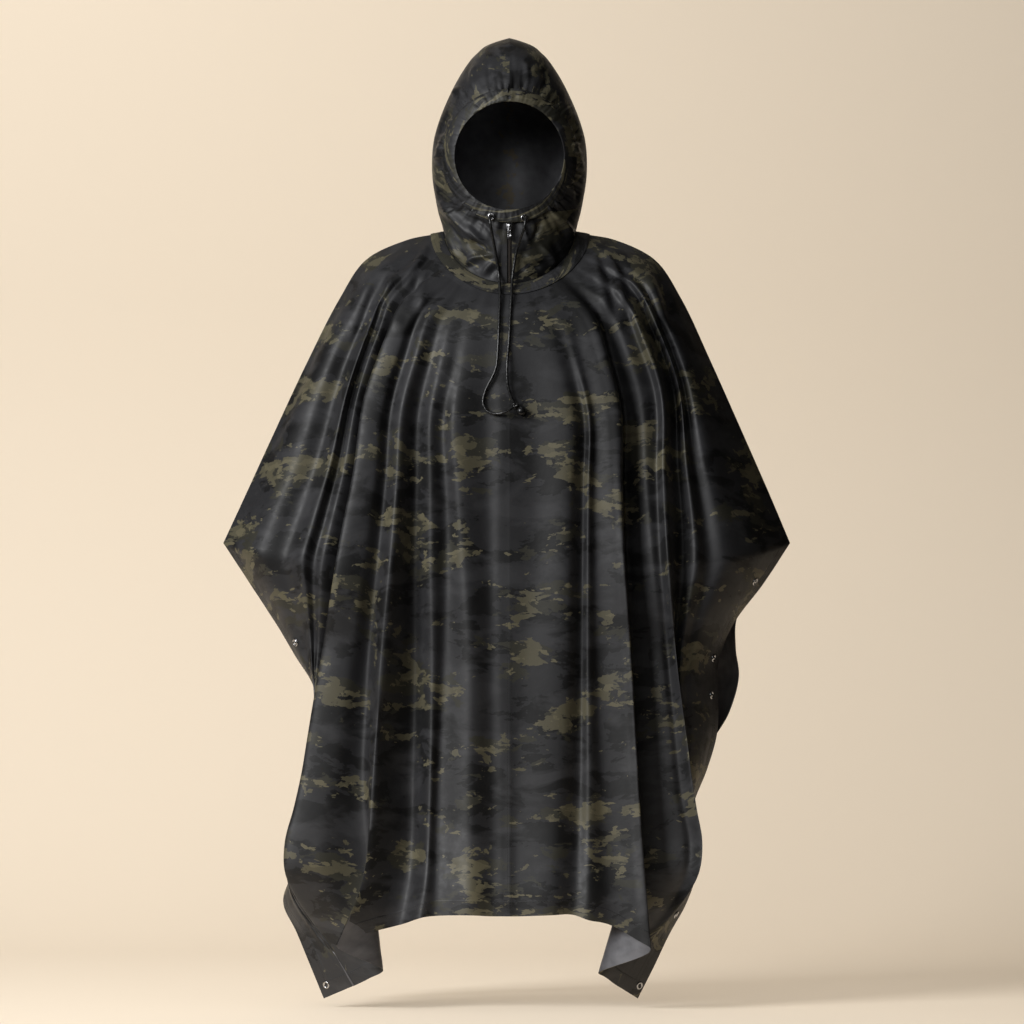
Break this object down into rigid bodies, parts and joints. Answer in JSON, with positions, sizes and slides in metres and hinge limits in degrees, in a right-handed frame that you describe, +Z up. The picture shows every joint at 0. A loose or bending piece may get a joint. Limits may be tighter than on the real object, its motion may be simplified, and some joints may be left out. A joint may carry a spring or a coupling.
{
  "type": "rain poncho",
  "caption": "Hooded rain poncho of thin coated cloth, hanging open as worn with the arms held out, with a throat zip, a drawcord at the face, press snaps and corner grommets.",
  "frame": {"origin": "middle of the neck at the height of the shoulders, where the wearer holds the poncho up", "axes": "+Z up, -Y towards the front of the garment, +X to the right in the front view"},
  "size_m": [0.907, 0.418, 1.531],
  "materials": {
    "coated_cloth": "ripstop polyester with a glossy waterproof coating, printed in dark camouflage, silver grey inside",
    "zip_tape": "woven polyester tape",
    "zip_coil": "nylon coil",
    "plated_metal": "bright nickel plate",
    "cord_cover": "braided polyester, glossy black",
    "lock_plastic": "moulded glossy black plastic"
  },
  "bodies": {
    "garment": {"front_left": "coated_cloth", "front_right": "coated_cloth", "back_left": "coated_cloth", "back_right": "coated_cloth", "hood_left": "coated_cloth", "hood_right": "coated_cloth", "neck_band": "coated_cloth", "face_casing": "coated_cloth", "zip_tape_left": "zip_tape", "zip_tape_right": "zip_tape", "zip_chain": "zip_coil", "zip_slider": "plated_metal", "snap_front_left": "plated_metal", "snap_front_right_upper": "plated_metal", "snap_front_right_middle": "plated_metal", "snap_front_right_lower": "plated_metal", "snap_front_right_hem": "plated_metal", "snap_back_left": "plated_metal", "snap_back_right_upper": "plated_metal", "snap_back_right_middle": "plated_metal", "snap_back_right_lower": "plated_metal", "grommet_front_left": "plated_metal", "grommet_front_right": "plated_metal", "grommet_back_left": "plated_metal", "grommet_back_right": "plated_metal", "eyelet_left": "plated_metal", "eyelet_right": "plated_metal", "drawcord_left": "cord_cover", "drawcord_right": "cord_cover", "cord_knot": "cord_cover", "cord_lock": "lock_plastic"},
    "pull_tab": {"zip_pull": "plated_metal"}
  },
  "joints": [
    {"name": "pull_tab_hinge", "type": "hinge", "parent": "garment", "child": "pull_tab", "pos_m": [0, -0.10568, 0.016], "axis": [-1, 0, 0], "range_deg": [0, 150]}
  ]
}
